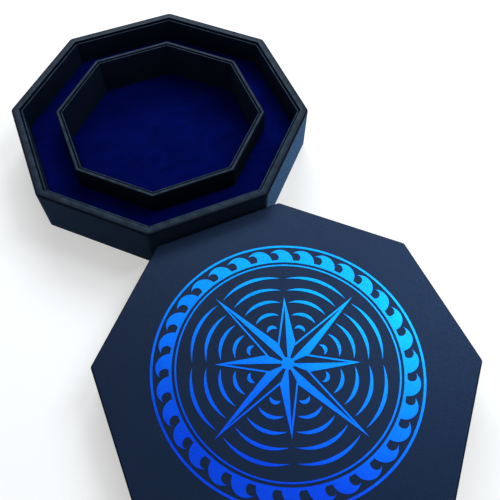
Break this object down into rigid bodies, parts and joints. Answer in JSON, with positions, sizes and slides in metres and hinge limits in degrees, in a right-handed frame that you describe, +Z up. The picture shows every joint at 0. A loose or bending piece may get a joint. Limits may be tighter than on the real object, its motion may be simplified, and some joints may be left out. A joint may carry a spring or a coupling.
{
  "type": "dice tray with lid",
  "caption": "Octagonal dice tray in black leatherette with a blue velvet rolling well, a raised dice channel round it, and a lift-off lid with a foil compass star lying beside it.",
  "frame": {"origin": "middle of the tray's underside, on the surface that it stands on", "axes": "+Z up; the tray's flats are square to X and Y; the lid lies face up in front of the tray, towards -Y"},
  "size_m": [0.2358, 0.4588, 0.04],
  "materials": {
    "leatherette": "fine-grained black leatherette, satin",
    "covered_card": "card covered in black leatherette",
    "board": "bare fibreboard",
    "velvet": "short-pile deep blue velvet",
    "felt": "black felt",
    "foam": "dark closed-cell foam",
    "foil": "blue metallic stamping foil"
  },
  "bodies": {
    "tray": {"base_sheet": "felt", "base_board": "board", "tray_wrap": "leatherette", "ring_wrap": "leatherette", "channel_riser": "foam", "channel_velvet": "velvet", "well_pad": "foam", "well_velvet": "velvet", "outer_wall_1": "board", "outer_wall_2": "board", "outer_wall_3": "board", "outer_wall_4": "board", "outer_wall_5": "board", "outer_wall_6": "board", "outer_wall_7": "board", "outer_wall_8": "board", "wall_liner_1": "covered_card", "wall_liner_2": "covered_card", "wall_liner_3": "covered_card", "wall_liner_4": "covered_card", "wall_liner_5": "covered_card", "wall_liner_6": "covered_card", "wall_liner_7": "covered_card", "wall_liner_8": "covered_card", "ring_wall_1": "board", "ring_wall_2": "board", "ring_wall_3": "board", "ring_wall_4": "board", "ring_wall_5": "board", "ring_wall_6": "board", "ring_wall_7": "board", "ring_wall_8": "board", "ring_facing_1": "covered_card", "ring_facing_2": "covered_card", "ring_facing_3": "covered_card", "ring_facing_4": "covered_card", "ring_facing_5": "covered_card", "ring_facing_6": "covered_card", "ring_facing_7": "covered_card", "ring_facing_8": "covered_card"},
    "lid": {"lid_top": "board", "lid_lining": "velvet", "lid_wrap": "leatherette", "lid_foil": "foil", "lid_wall_1": "board", "lid_wall_2": "board", "lid_wall_3": "board", "lid_wall_4": "board", "lid_wall_5": "board", "lid_wall_6": "board", "lid_wall_7": "board", "lid_wall_8": "board", "lid_liner_1": "covered_card", "lid_liner_2": "covered_card", "lid_liner_3": "covered_card", "lid_liner_4": "covered_card", "lid_liner_5": "covered_card", "lid_liner_6": "covered_card", "lid_liner_7": "covered_card", "lid_liner_8": "covered_card"}
  },
  "joints": [
    {"name": "lid_lift", "type": "slide", "parent": "tray", "child": "lid", "axis": [0, 0, 1], "range_m": [0, 0.12]}
  ]
}
